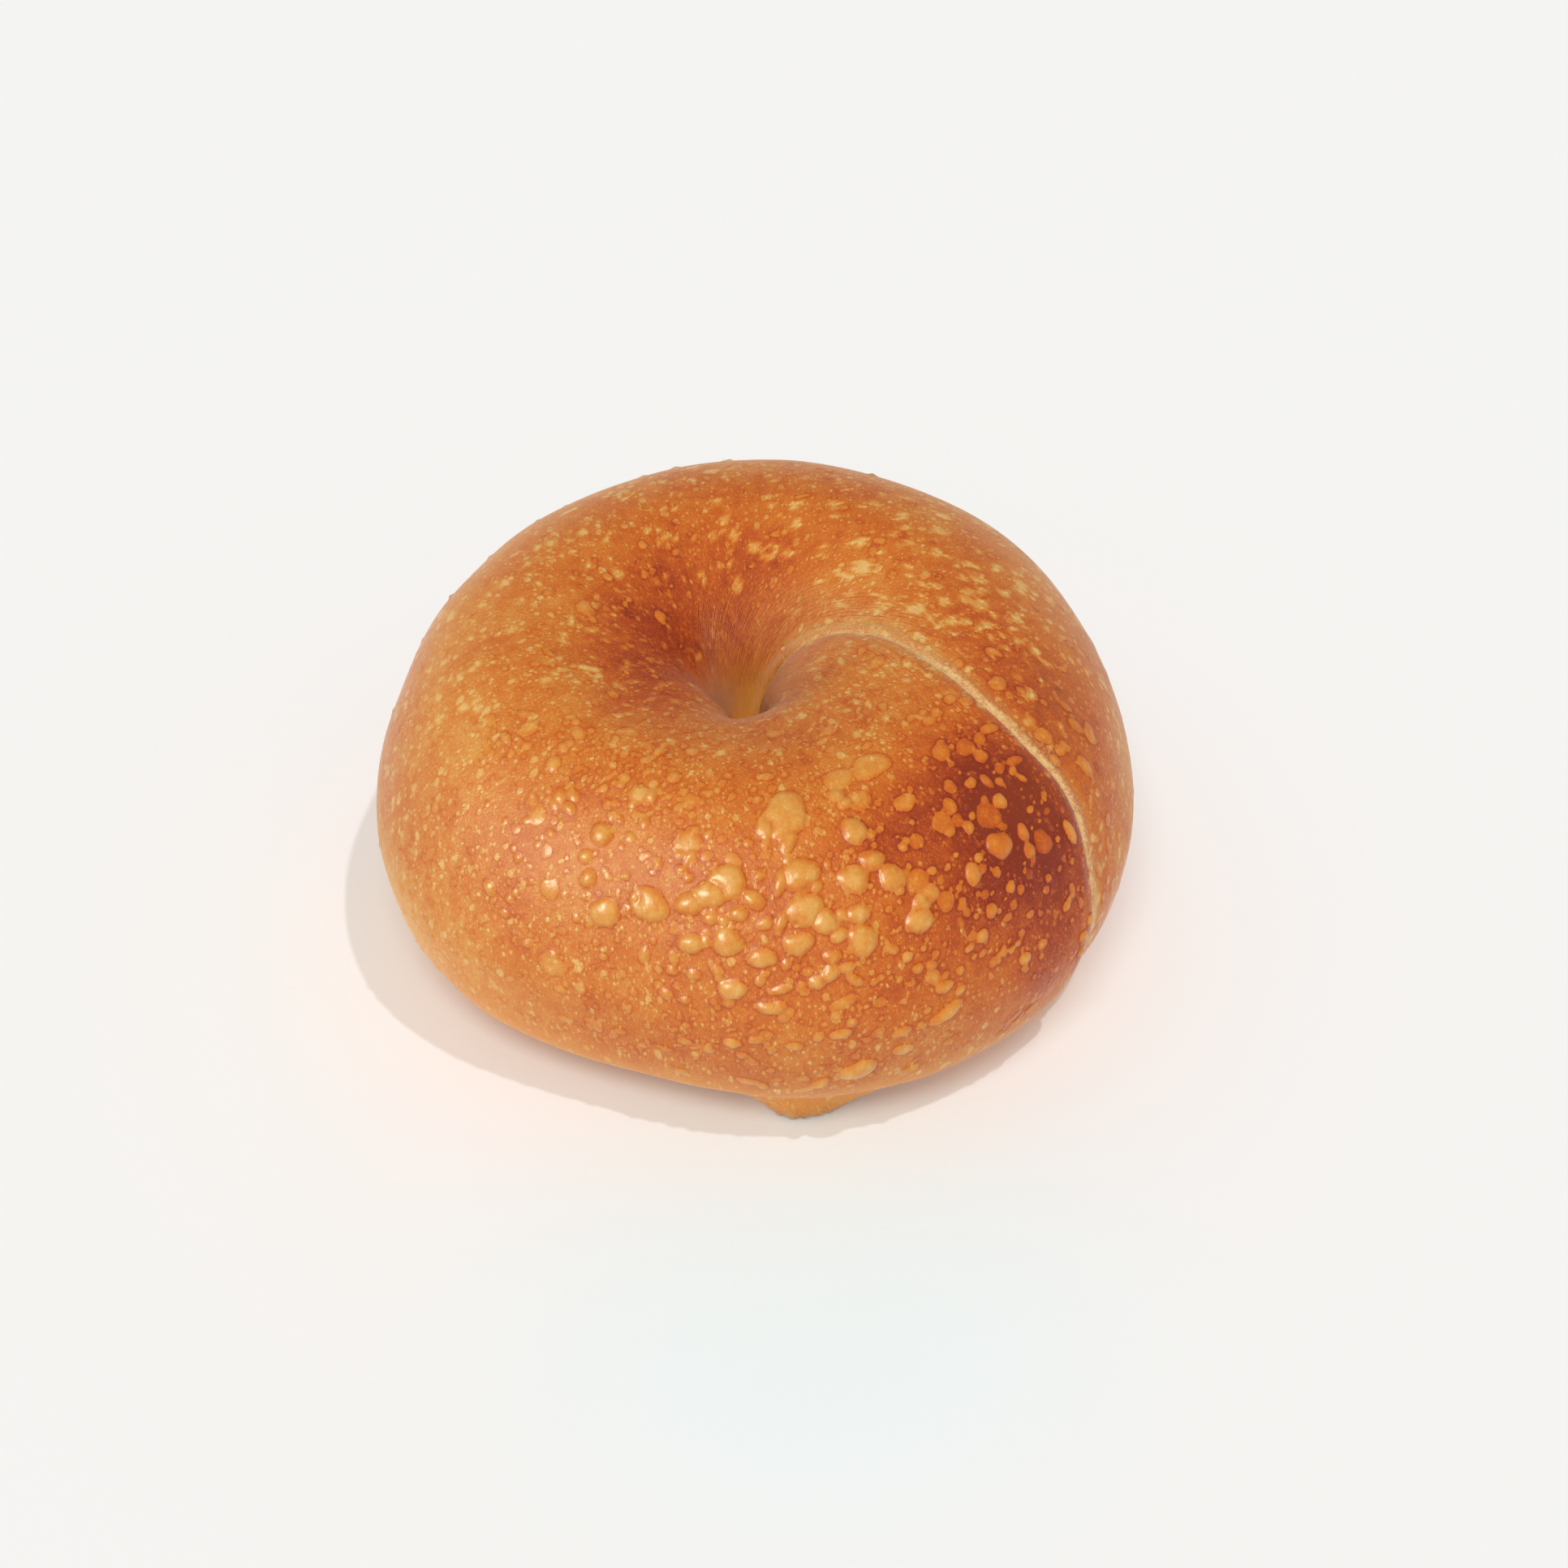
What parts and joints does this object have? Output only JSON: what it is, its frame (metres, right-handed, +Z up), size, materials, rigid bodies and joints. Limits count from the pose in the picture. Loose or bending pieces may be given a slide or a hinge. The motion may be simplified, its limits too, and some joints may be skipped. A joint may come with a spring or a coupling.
{
  "type": "bagel",
  "caption": "Plump boiled and baked bagel: a ring of dough with a narrow funnel-shaped hole, a lapped seam over the crown and a flat base.",
  "frame": {"origin": "on the surface that the bagel stands on, under the middle of its box", "axes": "+Z up, out of the flat base and along the hole; the seam comes down the side between +X and -Y"},
  "size_m": [0.0974, 0.0946, 0.0477],
  "materials": {
    "crust": "satin golden-brown baked crust, covered with small pale blisters"
  },
  "bodies": {
    "root": {"bagel": "crust"}
  },
  "joints": []
}
